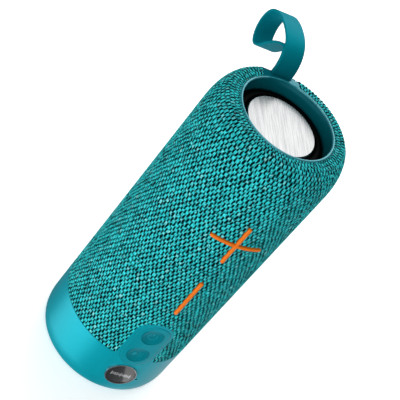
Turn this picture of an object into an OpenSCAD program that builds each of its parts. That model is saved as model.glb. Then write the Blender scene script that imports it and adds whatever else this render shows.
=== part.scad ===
// Portable bluetooth speaker: an upright fabric-covered tube with a carrying strap.
// Origin at the centre of the flat base, +Z up along the tube, the keys on the -Y side.

/* [Body] */
// Radius of the tube over its fabric
body_r = 36; // [35.5:0.5:37]
// Height of the top face over the table
body_h = 179; // [178:1:182]
// Thickness of the knitted sleeve
fabric_t = 1; // [0.8:0.1:1.2]
// Height of the rounded shoulder at the top
shoulder_h = 18; // [16:1:20]
// Radial width of the rounded shoulder
shoulder_w = 6.8; // [6:0.2:7.4]
// Radius of the open mouth, over its lip
mouth_r = 25; // [24.5:0.5:25.5]

/* [Base cup] */
// Height of the bare cup below the fabric
cup_h = 30; // [28:1:32]
// Half the width of the tongue that rises from the cup
tongue_r = 10; // [9.5:0.5:10.5]
// Height of the centre of the tongue's round end
tongue_z = 50.5; // [50:0.5:51]

/* [Keys] */
// Height of the centre of the plus key
plus_z = 128; // [126:1:130]
// Height of the centre of the minus key
minus_z = 85; // [83:1:87]
// Length of each straight key bar
key_len = 26; // [24:1:28]
// Width of each key bar
key_w = 1.7; // [1.4:0.1:2]
// How far the key bars stand out of the fabric
key_proud = 0.9; // [0.5:0.1:1.2]
// Half the angle that the plus key's cross bar covers
cross_a = 21.5; // [20:0.5:23]
// Height of the centre of the power button
power_z = 50; // [49.5:0.5:50.5]
// Height of the centre of the play button
play_z = 34.5; // [34:0.5:35]
// Radius of the two round buttons
button_r = 5.6; // [5:0.1:6]
// Height of the centre of the round badge
badge_z = 16.4; // [15.8:0.1:17]
// Radius of the badge over its rim
badge_r = 8.1; // [7.5:0.1:8.2]

/* [Radiator] */
// Radius of the brushed disc
disc_r = 18; // [17.5:0.5:18.5]
// Height of the disc's upper face
disc_z = 173.4; // [173:0.2:174]

/* [Strap] */
// Width of the carrying strap
strap_w = 10.5; // [9.5:0.5:11]
// Thickness of one layer of the strap
strap_t = 1.3; // [1.2:0.1:1.4]

/* [Port] */
// Height of the centre of the charging socket
usb_z = 16.2; // [16:0.1:16.4]

/* [Hidden] */
$fn = 96;

teal = [0.0, 0.55, 0.60];
deep_teal = [0.0, 0.30, 0.34];
orange = [0.93, 0.42, 0.12];
black = [0.06, 0.06, 0.07];
steel = [0.72, 0.73, 0.75];
board_green = [0.05, 0.30, 0.16];

// Radii of the layers under the fabric, from the outside in
layer_r = body_r - fabric_t;
shell_r = layer_r - 0.1;
shell_t = 1.8;
shell_in = shell_r - shell_t;
shell_top_r = body_r - shoulder_w - fabric_t - 0.1;

// Heights at the mouth
layer_z = body_h - fabric_t;
flange_t = 2;
ring_z = 170.2;
throat_r = mouth_r - 1.2;
frame_t = 3;
flange_z = ring_z - frame_t;
ring_screw_r = mouth_r + 1.1;
ring_screw_angles = [0, 76, 104, 180, 250, 290];

// The cup's wall and floor
cup_wall = 2;
cup_foot_r = body_r - 2.6;
cup_foot_h = 9;
cup_lift = 0.3;
pad_r = 31;
pad_t = 1.6;
plate_r = 32.3;
plate_z = pad_t + 2;
gasket_t = 0.6;
ledge_z = plate_z + gasket_t;
ledge_t = 1.6;
rebate_z = 24.8;
base_screw_r = 26.5;
quarter = [45, 135, 225, 315];

// The keys, their switch contacts and their board
board_y = -29;
board_t = 1.2;
contact_t = 0.25;
contact_y = board_y - 0.6;
stem_y = contact_y - contact_t;
back_r = shell_in - 0.5;
back_t = 1.1;
slot_gap = 0.35;
button_gap = 0.15;
keypad_r = 8.8;
// The finger dish in each button, cut by a ball
dish_r = 20;
dish_depth = 1;
bezel_w = 0.5;
// The microphone's hole: its angle round from the front, height and radius
mic_a = 16.7;
mic_z = 13.9;
mic_hole_r = 0.6;

// The seat that holds the strap
seat_w = 20;
seat_low = 165;
seat_drop = 0.6;
pivot_y = 28.6;
pivot_z = 180.2;
slot_half_w = strap_w / 2 + 0.3;
slot_half_t = strap_t + 0.25;
strap_pin_z = 171.6;

// The hinged flap over the charging socket
flap_half_w = 8;
flap_y = 34;
flap_low = 11.8;
flap_top = 21;
flap_gap = 0.3;
flap_pivot = [34.8, 10.3];
knuckle_r = 1;
knuckle_w = 3.2;
pin_r = 0.5;
pocket_y = 31.5;

// The chassis box and what it holds
box_x = 23.7;
box_y = 22.2;
box_wall_x = 3.4;
box_wall_y = 2;
box_low = 30;
box_floor = 82;
chassis_screw_x = 14;
chassis_screw_z = [88, 157];
driver_z = 112;
cell_r = 9.2;
cell_h = 65;
cell_x = 9.6;
cell_y = 4;
cell_z = 14;
tray_z = 12;
tray_x = 19.8;
main_board_y = 24.6;
main_screws = [[-15, 70], [15, 70], [-15, 148], [15, 148]];
key_screws = [[-5, 65], [5, 65], [-5, 106], [5, 106]];

// Helpers

module ring(r_in, r_out, z0, z1) {
    translate([0, 0, z0]) difference() {
        cylinder(r = r_out, h = z1 - z0);
        translate([0, 0, -1]) cylinder(r = r_in, h = z1 - z0 + 2);
    }
}

module block(x0, x1, y0, y1, z0, z1) {
    translate([x0, y0, z0]) cube([x1 - x0, y1 - y0, z1 - z0]);
}

module rod_x(r, x0, x1, y, z) {
    translate([x0, y, z]) rotate([0, 90, 0]) cylinder(r = r, h = x1 - x0);
}

module rod_y(r, y0, y1, x, z) {
    translate([x, y1, z]) rotate([90, 0, 0]) cylinder(r = r, h = y1 - y0);
}

// Points of the rounded shoulder, a quarter ellipse, at a depth under the fabric's face
function shoulder(depth, n = 16) = [
    for (i = [0 : n])
        let (a = 90 * i / n)
        [body_r - depth - shoulder_w * (1 - cos(a)), body_h - depth - shoulder_h * (1 - sin(a))]
];

function reversed(points) = [for (i = [len(points) - 1 : -1 : 0]) points[i]];

// A revolved shell between two depths under the fabric's face, open at r_in on top
module shouldered(z0, r_in, depth_out, depth_in) {
    inner = [for (p = reversed(shoulder(depth_in))) if (p[0] > r_in) p];
    rotate_extrude() polygon(concat(
        [[body_r - depth_out, z0]], shoulder(depth_out),
        [[r_in, body_h - depth_out], [r_in, inner[0][1]]],
        inner, [[body_r - depth_in, z0]]
    ));
}

// The tongue's outline with its filleted foot, swept straight through the tube's front wall
module tongue_outline(grow = 0) {
    fillet_r = 2;
    half = tongue_r + grow;
    translate([0, -body_r / 2, 0]) rotate([90, 0, 0]) linear_extrude(body_r) union() {
        translate([0, tongue_z]) circle(r = half);
        translate([-half, cup_h - 4]) square([2 * half, tongue_z - cup_h + 4]);
        difference() {
            translate([-half - fillet_r, cup_h - 4]) square([2 * (half + fillet_r), fillet_r + 4]);
            for (s = [-1, 1]) translate([s * (half + fillet_r), cup_h + fillet_r]) circle(r = fillet_r);
        }
    }
}

// The keypad's outline, with two round ends
module keypad_outline(grow = 0) {
    translate([0, -body_r / 2, 0]) rotate([90, 0, 0]) linear_extrude(body_r) union() {
        translate([0, power_z]) circle(r = keypad_r + grow);
        translate([0, play_z]) circle(r = keypad_r + grow);
        translate([-keypad_r - grow, play_z]) square([2 * (keypad_r + grow), power_z - play_z]);
    }
}

// The strap seat's outline with its two round corners, swept through the rear of the shoulder
module seat_outline(grow = 0) {
    corner = 4;
    half = seat_w / 2 + grow;
    low = seat_low - grow;
    translate([0, body_r + 5, 0]) rotate([90, 0, 0]) linear_extrude(body_r + 7 - mouth_r) union() {
        translate([-half, low + corner]) square([2 * half, body_h]);
        translate([-half + corner, low]) square([2 * (half - corner), body_h]);
        for (s = [-1, 1]) translate([s * (half - corner), low + corner]) circle(r = corner);
    }
}

// The charging flap's outline with four round corners, swept from y0 to y1
module flap_outline(y0, y1, side = 0, below = 0) {
    corner = 2 + side;
    half = flap_half_w + side;
    low = flap_low - below;
    top = flap_top + side;
    translate([0, y1, 0]) rotate([90, 0, 0]) linear_extrude(y1 - y0) union() {
        translate([-half + corner, low]) square([2 * (half - corner), top - low]);
        translate([-half, low + corner]) square([2 * half, top - low - 2 * corner]);
        for (s = [-1, 1]) for (z = [low + corner, top - corner])
            translate([s * (half - corner), z]) circle(r = corner);
    }
}

// A curved slab on the tube's front between two radii: a bar along the tube, and with
// half_a over 0 a second bar across it
module key_shape(z, half_len, half_a, w, r0, r1) {
    reach = 2 * body_r;
    intersection() {
        ring(r0, r1, z - half_len, z + half_len);
        union() {
            block(-w / 2, w / 2, -reach, 0, z - half_len - 1, z + half_len + 1);
            if (half_a > 0) translate([0, 0, z - w / 2]) linear_extrude(w) polygon([
                [0, 0], [-reach * sin(half_a), -reach * cos(half_a)],
                [reach * sin(half_a), -reach * cos(half_a)]
            ]);
        }
    }
}

// The slots that a layer leaves for both volume keys
module key_slots(r0, r1) {
    w = key_w + 2 * slot_gap;
    key_shape(plus_z, key_len / 2 + slot_gap, cross_a + 0.9, w, r0, r1);
    key_shape(minus_z, key_len / 2 + slot_gap, 0, w, r0, r1);
}

module screw(head_r, head_h, shank_r, length) {
    difference() {
        cylinder(r = head_r, h = head_h);
        translate([0, 0, -0.1]) cylinder(r = head_r * 0.45, h = head_h * 0.6, $fn = 6);
    }
    translate([0, 0, head_h]) cylinder(r = shank_r, h = length);
}

// Casing

module fabric_sleeve() {
    color(teal) difference() {
        shouldered(cup_h + 0.1, mouth_r + 0.15, 0, fabric_t);
        tongue_outline(0.1);
        seat_outline(0.1);
        key_slots(layer_r - 2, body_r + 2);
    }
}

module grille_shell() {
    columns = [40 : 10 : 140];
    rows = [68, 90, 112, 134];
    color(black) difference() {
        shouldered(rebate_z, shell_top_r, fabric_t + 0.1, fabric_t + 0.1 + shell_t);
        for (side = [0, 180]) for (a = columns) for (z = rows)
            rotate([0, 0, side - 90 + a]) translate([shell_in - 3, -1.5, z])
                cube([8, 3, 18]);
        key_slots(shell_in - 2, shell_r + 2);
        for (z = [power_z, play_z]) rod_y(button_r + button_gap, -body_r, -body_r + 6, 0, z);
        block(-9.7, 9.7, mouth_r, 31.7, ring_z - 1.4, body_h);
    }
}

module top_ring() {
    lip_r = (mouth_r - throat_r) / 2;
    lip_z = body_h - 0.2;
    color(deep_teal) difference() {
        union() {
            rotate_extrude() union() {
                translate([throat_r, ring_z]) square([mouth_r - throat_r, lip_z - ring_z]);
                translate([mouth_r - 0.2, layer_z - flange_t])
                    square([shell_top_r - mouth_r, flange_t - 0.1]);
                translate([mouth_r - lip_r, lip_z]) circle(r = lip_r);
            }
            for (a = ring_screw_angles) rotate([0, 0, a]) translate([ring_screw_r, 0, ring_z])
                cylinder(r = 1.8, h = layer_z - ring_z - 1);
            block(-9.4, 9.4, mouth_r - 0.3, 31.4, ring_z - 1, layer_z - 1.2);
            intersection() {
                shouldered(seat_low - 10, mouth_r - 0.5, seat_drop, fabric_t + 0.05);
                seat_outline();
            }
        }
        for (a = ring_screw_angles) rotate([0, 0, a]) translate([ring_screw_r, 0, ring_z - 2])
            cylinder(r = 0.85, h = 7);
        block(-slot_half_w, slot_half_w, pivot_y - slot_half_t, pivot_y + slot_half_t,
            ring_z - 3, body_h + 2);
        rod_x(1.05, -8, 10, pivot_y, strap_pin_z);
    }
}

module base_cup() {
    boss_r = 3;
    color(teal) difference() {
        union() {
            // The turned wall, with its rounded foot, its ledge and the rebate for the shell
            rotate_extrude() polygon(concat(
                [for (i = [0 : 12]) let (a = 90 * i / 12)
                    [cup_foot_r + (body_r - cup_foot_r) * sin(a),
                     cup_lift + cup_foot_h * (1 - cos(a))]],
                [[body_r, cup_h], [layer_r - 0.05, cup_h], [layer_r - 0.05, rebate_z],
                 [body_r - cup_wall, rebate_z], [body_r - cup_wall, ledge_z + ledge_t],
                 [plate_r - 1.8, ledge_z + ledge_t], [plate_r - 1.8, ledge_z],
                 [plate_r + 0.2, ledge_z], [plate_r + 0.2, cup_lift]]
            ));
            // The tongue on the front
            intersection() {
                ring(layer_r - 0.05, body_r, rebate_z + 1, tongue_z + tongue_r + 1);
                tongue_outline();
            }
            // Screw bosses with their ribs
            for (a = quarter) rotate([0, 0, a]) {
                translate([base_screw_r, 0, ledge_z]) cylinder(r = boss_r, h = 10);
                block(base_screw_r + 1, body_r - 1.8, -0.8, 0.8, ledge_z + 0.5, ledge_z + 10);
            }
            // The box round the charging socket
            intersection() {
                block(-10.2, 10.2, pocket_y - 2, layer_r, 7.4, 23.2);
                cylinder(r = body_r - 0.5, h = cup_h);
            }
        }
        keypad_outline(0.05);
        for (a = quarter) rotate([0, 0, a]) translate([base_screw_r, 0, ledge_z - 1])
            cylinder(r = 1.3, h = 9);
        rod_y(badge_r + 0.05, -body_r - 1, -body_r + 1.5, 0, badge_z);
        rotate([0, 0, mic_a]) rod_y(mic_hole_r, -body_r - 1, -body_r + 3, 0, mic_z);
        // The pocket that the flap closes, its notch for the knuckle, and the socket's hole
        flap_outline(pocket_y, body_r + 1, flap_gap, 0.5);
        block(-knuckle_w - flap_gap, knuckle_w + flap_gap, pocket_y, body_r + 1,
            flap_pivot[1] - knuckle_r - flap_gap, flap_low);
        block(-4.65, 4.65, pocket_y - 3, pocket_y + 1, usb_z - 1.8, usb_z + 1.8);
        rod_x(pin_r, -knuckle_w - 3, knuckle_w + 3, flap_pivot[0], flap_pivot[1]);
    }
}

module base_plate() {
    color(black) difference() {
        union() {
            translate([0, 0, pad_t]) cylinder(r = plate_r, h = plate_z - pad_t);
            for (x = [-8, 8]) translate([x, 20, plate_z - 0.5])
                cylinder(r = 2, h = usb_z - 2.9 - plate_z + 0.5);
            for (x = [-13, 13]) translate([x, cell_y, plate_z - 0.5])
                cylinder(r = 3, h = tray_z - plate_z + 0.5);
        }
        for (a = quarter) rotate([0, 0, a]) translate([base_screw_r, 0, pad_t - 1]) {
            cylinder(r = 1.5, h = 5);
            cylinder(r = 2.6, h = 2.4);
        }
    }
}

module base_pad() {
    color([0.10, 0.12, 0.13]) rotate_extrude() polygon([
        [0, 0], [pad_r - 0.6, 0], [pad_r, 0.6], [pad_r, pad_t], [0, pad_t]
    ]);
}

module base_gasket() {
    color(black) ring(plate_r - 1.6, plate_r - 0.1, plate_z, ledge_z);
}

module base_screws() {
    color(steel) for (a = quarter) rotate([0, 0, a])
        translate([base_screw_r, 0, pad_t + 0.1]) screw(2.4, 1.3, 1.25, 8);
}

// Passive radiator in the mouth

module radiator_frame() {
    color(black) difference() {
        ring(22, 30.2, flange_z, ring_z);
        for (a = ring_screw_angles) rotate([0, 0, a]) translate([ring_screw_r, 0, flange_z - 1])
            cylinder(r = 1.1, h = 6);
        block(-9.8, 9.8, mouth_r - 0.5, 31.8, ring_z - 1.4, ring_z + 1);
    }
}

module radiator_surround() {
    roll_r = 1.9;
    roll_mid = disc_r + 3;
    wall = 0.6;
    color(black) rotate_extrude() union() {
        translate([roll_mid + roll_r - 0.1, ring_z]) square([throat_r - 0.1 - roll_mid - roll_r, wall]);
        translate([disc_r - 1.2, ring_z]) square([roll_mid - roll_r - disc_r + 1.3, wall]);
        intersection() {
            translate([roll_mid, ring_z]) difference() {
                circle(r = roll_r + wall);
                circle(r = roll_r);
            }
            translate([roll_mid - 4, ring_z]) square([8, 4]);
        }
    }
}

module radiator_disc() {
    color(steel) rotate_extrude() polygon([
        [0, disc_z - 1.4], [disc_r, disc_z - 1.4], [disc_r, disc_z - 0.4],
        [disc_r - 0.4, disc_z], [0, disc_z]
    ]);
}

module radiator_core() {
    color(black) union() {
        translate([0, 0, ring_z + 0.65]) cylinder(r = disc_r - 0.1, h = disc_z - 1.4 - ring_z - 0.65);
        translate([0, 0, ring_z - 0.7]) cylinder(r = disc_r - 1.3, h = 1.5);
    }
}

module radiator_weight() {
    color(steel) translate([0, 0, ring_z - 4.7]) cylinder(r = 9, h = 4);
}

module ring_screws() {
    color(steel) for (a = ring_screw_angles) rotate([0, 0, a])
        translate([ring_screw_r, 0, flange_z - 3.2 - 1.2]) screw(1.6, 1.2, 0.8, 9);
}

// Strap

// A cubic curve through its four control points, at t from 0 to 1
function cubic(p, t) = p[0] * pow(1 - t, 3) + 3 * p[1] * t * pow(1 - t, 2)
    + 3 * p[2] * t * t * (1 - t) + p[3] * pow(t, 3);

function curve(segments, n = 10) = [
    for (k = [0 : len(segments) - 1]) for (i = [(k == 0 ? 0 : 1) : n]) cubic(segments[k], i / n)
];

function left_of(a, b) = let (d = b - a) [-d[1], d[0]] / norm(d);

// The outline of a band of even thickness along a line of points
function band(line, t) = let (n = len(line)) concat(
    [for (i = [0 : n - 1]) line[i] + left_of(line[max(i - 1, 0)], line[min(i + 1, n - 1)]) * t / 2],
    [for (i = [n - 1 : -1 : 0]) line[i] - left_of(line[max(i - 1, 0)], line[min(i + 1, n - 1)]) * t / 2]
);

// The loop, seen from the side as [y, z]: up from the root, over, round the fold and back
strap_loop_line = curve([
    [[28, 180.2], [28.2, 185.5], [31.5, 192.9], [42, 192.9]],
    [[42, 192.9], [52, 192.9], [67.6, 189], [67.6, 177.5]],
    [[67.6, 177.5], [67.6, 171.5], [63.6, 167.6], [60.3, 167.6]],
    [[60.3, 167.6], [53.5, 167.6], [48.5, 183.5], [36, 189.2]]
]);

// The second layer, which closes the loop beside the first one
strap_inner_line = curve([
    [[29.2, 180.2], [29.5, 184.6], [31.4, 188.6], [36, 190]]
]);

module strap_layer(line) {
    rotate([90, 0, 90]) translate([0, 0, -strap_w / 2]) linear_extrude(strap_w)
        polygon(band(line, strap_t));
}

module strap_loop() {
    color(teal) union() {
        strap_layer(strap_loop_line);
        strap_layer(strap_inner_line);
        rod_x(strap_t - 0.1, -strap_w / 2, strap_w / 2, pivot_y, pivot_z);
    }
}

module strap_tail() {
    color(teal) difference() {
        union() {
            block(-strap_w / 2, strap_w / 2, pivot_y - strap_t, pivot_y + strap_t,
                strap_pin_z, pivot_z - strap_t - 0.25);
            rod_x(strap_t + 0.1, -strap_w / 2, strap_w / 2, pivot_y, strap_pin_z);
        }
        rod_x(1.05, -strap_w, strap_w, pivot_y, strap_pin_z);
    }
}

module strap_pin() {
    color(steel) rod_x(1, -7.9, 9.3, pivot_y, strap_pin_z);
}

// Volume keys, each a raised bar on a backing strip with a stem to its contact

module key_stem(z) {
    rod_y(2, -back_r + 0.4, stem_y, 0, z);
}

module plus_key() {
    color(orange) union() {
        key_shape(plus_z, key_len / 2, cross_a, key_w, back_r - 0.1, body_r + key_proud);
        key_shape(plus_z, key_len / 2 + 1.5, cross_a + 2, 6, back_r - back_t, back_r);
        key_stem(plus_z);
    }
}

module minus_key() {
    color(orange) union() {
        key_shape(minus_z, key_len / 2, 0, key_w, back_r - 0.1, body_r + key_proud);
        key_shape(minus_z, key_len / 2 + 1.5, 0, 6, back_r - back_t, back_r);
        key_stem(minus_z);
    }
}

module contact(z) {
    color(black) rod_y(1.8, stem_y, contact_y, 0, z);
}

module plus_contact() {
    contact(plus_z);
}

module minus_contact() {
    contact(minus_z);
}

// Keypad on the tongue

module keypad_pad() {
    color(teal) difference() {
        intersection() {
            ring(layer_r - 0.05, body_r, play_z - keypad_r - 1, power_z + keypad_r + 1);
            keypad_outline();
        }
        for (z = [power_z, play_z]) rod_y(button_r + button_gap, -body_r - 1, -body_r / 2, 0, z);
    }
}

module button(z) {
    flange_y = -sqrt(pow(shell_in, 2) - pow(button_r + 1, 2)) + 0.3;
    color(teal) union() {
        difference() {
            intersection() {
                rod_y(button_r, -body_r - 1, flange_y, 0, z);
                cylinder(r = body_r, h = body_h);
            }
            translate([0, -body_r - dish_r + dish_depth, z]) sphere(r = dish_r);
        }
        rod_y(button_r + 1, flange_y - 0.01, flange_y + 0.9, 0, z);
        rod_y(1.6, flange_y + 0.8, stem_y, 0, z);
    }
}

module power_button() {
    button(power_z);
}

module play_button() {
    button(play_z);
}

module power_contact() {
    contact(power_z);
}

module play_contact() {
    contact(play_z);
}

module key_board() {
    color(board_green) difference() {
        block(-8.5, 8.5, board_y, board_y + board_t, 26, 143);
        for (p = key_screws) rod_y(1.1, board_y - 1, board_y + board_t + 1, p[0], p[1]);
    }
}

module key_board_screws() {
    color(steel) for (p = key_screws)
        translate([p[0], board_y - 1, p[1]]) rotate([-90, 0, 0]) screw(1.6, 1, 0.8, 5);
}

module badge_bezel() {
    color(steel) difference() {
        rod_y(badge_r, -body_r - 0.35, -body_r + 1.5, 0, badge_z);
        rod_y(badge_r - bezel_w, -body_r - 1, -body_r + 2, 0, badge_z);
    }
}

// A disc with a slightly domed face
module badge_disc() {
    r = badge_r - bezel_w - 0.05;
    dome = 0.3;
    color(black) translate([0, -body_r + 1.5, badge_z]) rotate([90, 0, 0]) rotate_extrude() polygon(concat(
        [[0, 0], [r, 0]],
        [for (i = [6 : -1 : 0]) [r * i / 6, 1.5 + dome * (1 - pow(i / 6, 2))]]
    ));
}

module mic_capsule() {
    color(steel) rotate([0, 0, mic_a]) difference() {
        rod_y(2, -body_r + cup_wall + 0.1, -body_r + cup_wall + 1.6, 0, mic_z);
        rod_y(mic_hole_r, -body_r + cup_wall - 0.1, -body_r + cup_wall + 0.5, 0, mic_z);
    }
}

// Charging port

module port_door() {
    color(teal) difference() {
        union() {
            intersection() {
                flap_outline(flap_y, body_r + 1);
                cylinder(r = body_r, h = cup_h);
            }
            block(-knuckle_w, knuckle_w, flap_y, flap_pivot[0] + knuckle_r, flap_pivot[1], flap_low + 0.5);
            rod_x(knuckle_r, -knuckle_w, knuckle_w, flap_pivot[0], flap_pivot[1]);
        }
        rod_x(pin_r + 0.06, -knuckle_w - 1, knuckle_w + 1, flap_pivot[0], flap_pivot[1]);
    }
}

module port_pin() {
    color(steel) rod_x(pin_r, -knuckle_w - 2.5, knuckle_w + 2.5, flap_pivot[0], flap_pivot[1]);
}

// The socket's round-ended outline, swept from y0 to y1
module usb_outline(half_w, half_h, y0, y1) {
    block(-half_w + half_h, half_w - half_h, y0, y1, usb_z - half_h, usb_z + half_h);
    for (s = [-1, 1]) rod_y(half_h, y0, y1, s * (half_w - half_h), usb_z);
}

module usb_socket() {
    color(steel) difference() {
        usb_outline(4.47, 1.63, 24.2, pocket_y);
        usb_outline(4.17, 1.33, 25, pocket_y + 1);
    }
}

module usb_tongue() {
    color(black) block(-3.35, 3.35, 25, pocket_y - 0.6, usb_z - 0.35, usb_z + 0.35);
}

module port_board() {
    color(board_green) block(-11, 11, 14.6, 29.3, usb_z - 2.9, usb_z - 1.7);
}

// Chassis: a sealed box for the drivers over an open bay for the battery

module chassis() {
    difference() {
        union() {
            block(-box_x, box_x, -box_y, box_y, box_low - 1, flange_z - 3);
            ring(22, 30.2, flange_z - 3.2, flange_z);
            translate([0, 0, box_low - 2]) cylinder(r = shell_in - 0.3, h = 2);
            for (p = main_screws) rod_y(2, box_y - 0.5, main_board_y, p[0], p[1]);
            for (p = key_screws) rod_y(2, board_y + board_t, -box_y + 0.5, p[0], p[1]);
        }
        // The chamber and the bay
        block(-box_x + box_wall_x, box_x - box_wall_x, -box_y + box_wall_y, box_y - box_wall_y,
            box_floor + 2, flange_z - 3.2);
        block(-box_x + box_wall_x, box_x - box_wall_x, -box_y + box_wall_y, box_y - box_wall_y,
            box_low - 3, box_floor);
        translate([0, 0, flange_z - 3.3]) cylinder(r = 22, h = 5);
        // The two driver seats
        for (s = [-1, 1]) {
            rod_x(18.4, min(s * 15, s * 30), max(s * 15, s * 30), 0, driver_z);
            rod_x(20.15, min(s * 21.7, s * 30), max(s * 21.7, s * 30), 0, driver_z);
        }
        // The notch for the key board, and every screw hole
        block(-9, 9, -body_r, board_y + board_t + 0.5, box_low - 3, box_low + 1);
        for (a = ring_screw_angles) rotate([0, 0, a]) translate([ring_screw_r, 0, flange_z - 4])
            cylinder(r = 1.1, h = 6);
        for (p = main_screws) rod_y(0.85, box_y - 1.5, main_board_y + 1, p[0], p[1]);
        for (p = key_screws) rod_y(0.85, board_y, -box_y + 1.5, p[0], p[1]);
    }
}

module chassis_bosses(y0, y1, r) {
    for (x = [-1, 1]) for (z = chassis_screw_z) rod_y(r, y0, y1, x * chassis_screw_x, z);
}

module chassis_front() {
    color([0.16, 0.17, 0.18]) difference() {
        union() {
            intersection() {
                chassis();
                block(-50, 50, -50, -0.05, 0, 200);
            }
            chassis_bosses(-box_y + 1, -0.05, 3);
        }
        chassis_bosses(-10, 1, 1.05);
    }
}

module chassis_rear() {
    color([0.20, 0.21, 0.22]) difference() {
        union() {
            intersection() {
                chassis();
                block(-50, 50, 0.05, 50, 0, 200);
            }
            chassis_bosses(0.05, box_y - 1, 3.8);
        }
        chassis_bosses(-1, 7, 1.3);
        chassis_bosses(6, box_y + 1, 2.6);
    }
}

module chassis_screws() {
    color(steel) for (x = [-1, 1]) for (z = chassis_screw_z)
        translate([x * chassis_screw_x, 7.6, z]) rotate([90, 0, 0]) screw(2.4, 1.6, 1, 14);
}

// Battery

module cells(r, z0, z1) {
    for (s = [-1, 1]) translate([s * cell_x, cell_y, z0]) cylinder(r = r, h = z1 - z0);
}

module battery_cells() {
    color([0.15, 0.35, 0.65]) cells(cell_r, cell_z, cell_z + cell_h);
}

module battery_tray() {
    color([0.85, 0.85, 0.82]) difference() {
        block(-tray_x, tray_x, cell_y - 6, cell_y + 10.6, tray_z, cell_z + cell_h + 1);
        cells(cell_r + 0.05, cell_z, cell_z + cell_h);
    }
}

module battery_board() {
    z = cell_z + cell_h + 1;
    color(board_green) block(-15, 15, cell_y - 5, cell_y + 6, z, z + 1.2);
}

// Main board

module main_board() {
    color(board_green) difference() {
        block(-18, 18, main_board_y, main_board_y + 1.4, 64, 153);
        for (p = main_screws) rod_y(1.1, main_board_y - 1, main_board_y + 3, p[0], p[1]);
    }
}

// The shielded radio, the amplifier, two coils and a connector
module main_board_chips() {
    y = main_board_y + 1.4;
    color([0.55, 0.56, 0.58]) {
        block(-9, 5, y, y + 2, 122, 142);
        block(-6, 4, y, y + 1.2, 96, 106);
        for (x = [-9, 5]) block(x, x + 6, y, y + 2.4, 80, 86);
        block(8, 14, y, y + 1.6, 108, 116);
    }
}

module main_board_screws() {
    color(steel) for (p = main_screws)
        translate([p[0], main_board_y + 2.4, p[1]]) rotate([90, 0, 0]) screw(1.6, 1, 0.8, 4);
}

// Drivers. Each faces sideways; u is the distance out from the tube's axis.

// Turns a profile drawn as [radius, u] to face +X, or -X on the left
module facing(side) {
    translate([0, 0, driver_z]) rotate([0, side * 90, 0]) children();
}

module basket(side) {
    color(steel) facing(side) difference() {
        union() {
            ring(16.9, 20, 21.7, 23.2);
            ring(17.4, 18.2, 13, 22);
            ring(8, 18.2, 13, 14);
            ring(10.4, 11.4, 13.5, 14.6);
        }
        for (a = [0 : 60 : 300]) rotate([0, 0, a]) block(12.2, 20, -5, 5, 12, 20.5);
    }
}

module yoke(side) {
    color(steel) facing(side) difference() {
        translate([0, 0, 3.5]) cylinder(r = 11, h = 9.5);
        translate([0, 0, 5.5]) cylinder(r = 7.7, h = 9);
    }
}

module magnet(side) {
    color([0.45, 0.46, 0.48]) facing(side) translate([0, 0, 5.5]) cylinder(r = 6.5, h = 7);
}

module coil(side) {
    color([0.75, 0.42, 0.22]) facing(side) ring(6.85, 7.3, 8.5, 16.6);
}

module spider(side) {
    color([0.85, 0.72, 0.40]) facing(side) ring(7.35, 11.2, 14.65, 15);
}

// The one-piece cone, with a dome in its middle
module cone(side) {
    color([0.30, 0.31, 0.33]) facing(side) rotate_extrude() polygon([
        [0, 19.2], [3, 18.9], [5.5, 18], [7.4, 16.6], [8, 16.6], [15.4, 22.2],
        [15.4, 22.9], [7.7, 17.3], [5.8, 18.7], [3.2, 19.6], [0, 19.9]
    ]);
}

module surround(side) {
    color(black) facing(side) rotate_extrude() union() {
        translate([17.3, 23.2]) square([2.4, 0.5]);
        translate([14.4, 22.95]) square([1.2, 0.5]);
        intersection() {
            translate([16.4, 23.2]) difference() {
                circle(r = 1.3);
                circle(r = 0.8);
            }
            translate([14, 23.2]) square([5, 3]);
        }
    }
}

module left_basket() { basket(-1); }
module left_yoke() { yoke(-1); }
module left_magnet() { magnet(-1); }
module left_coil() { coil(-1); }
module left_spider() { spider(-1); }
module left_cone() { cone(-1); }
module left_surround() { surround(-1); }
module right_basket() { basket(1); }
module right_yoke() { yoke(1); }
module right_magnet() { magnet(1); }
module right_coil() { coil(1); }
module right_spider() { spider(1); }
module right_cone() { cone(1); }
module right_surround() { surround(1); }

fabric_sleeve();
grille_shell();
top_ring();
base_cup();
base_plate();
base_pad();
base_gasket();
base_screws();
radiator_frame();
radiator_surround();
radiator_disc();
radiator_core();
radiator_weight();
ring_screws();
strap_loop();
strap_tail();
strap_pin();
plus_key();
plus_contact();
minus_key();
minus_contact();
keypad_pad();
power_button();
power_contact();
play_button();
play_contact();
key_board();
key_board_screws();
badge_bezel();
badge_disc();
mic_capsule();
port_door();
port_pin();
usb_socket();
usb_tongue();
port_board();
chassis_front();
chassis_rear();
chassis_screws();
battery_cells();
battery_tray();
battery_board();
main_board();
main_board_chips();
main_board_screws();
left_basket();
left_yoke();
left_magnet();
left_coil();
left_spider();
left_cone();
left_surround();
right_basket();
right_yoke();
right_magnet();
right_coil();
right_spider();
right_cone();
right_surround();
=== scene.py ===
"""Looks of a portable bluetooth speaker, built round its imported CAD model.

Lengths in this script are in millimetres, in the CAD's frame, until put() makes an object."""
import math

import bpy
import numpy as np
from mathutils import Matrix, Quaternion, Vector


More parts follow.
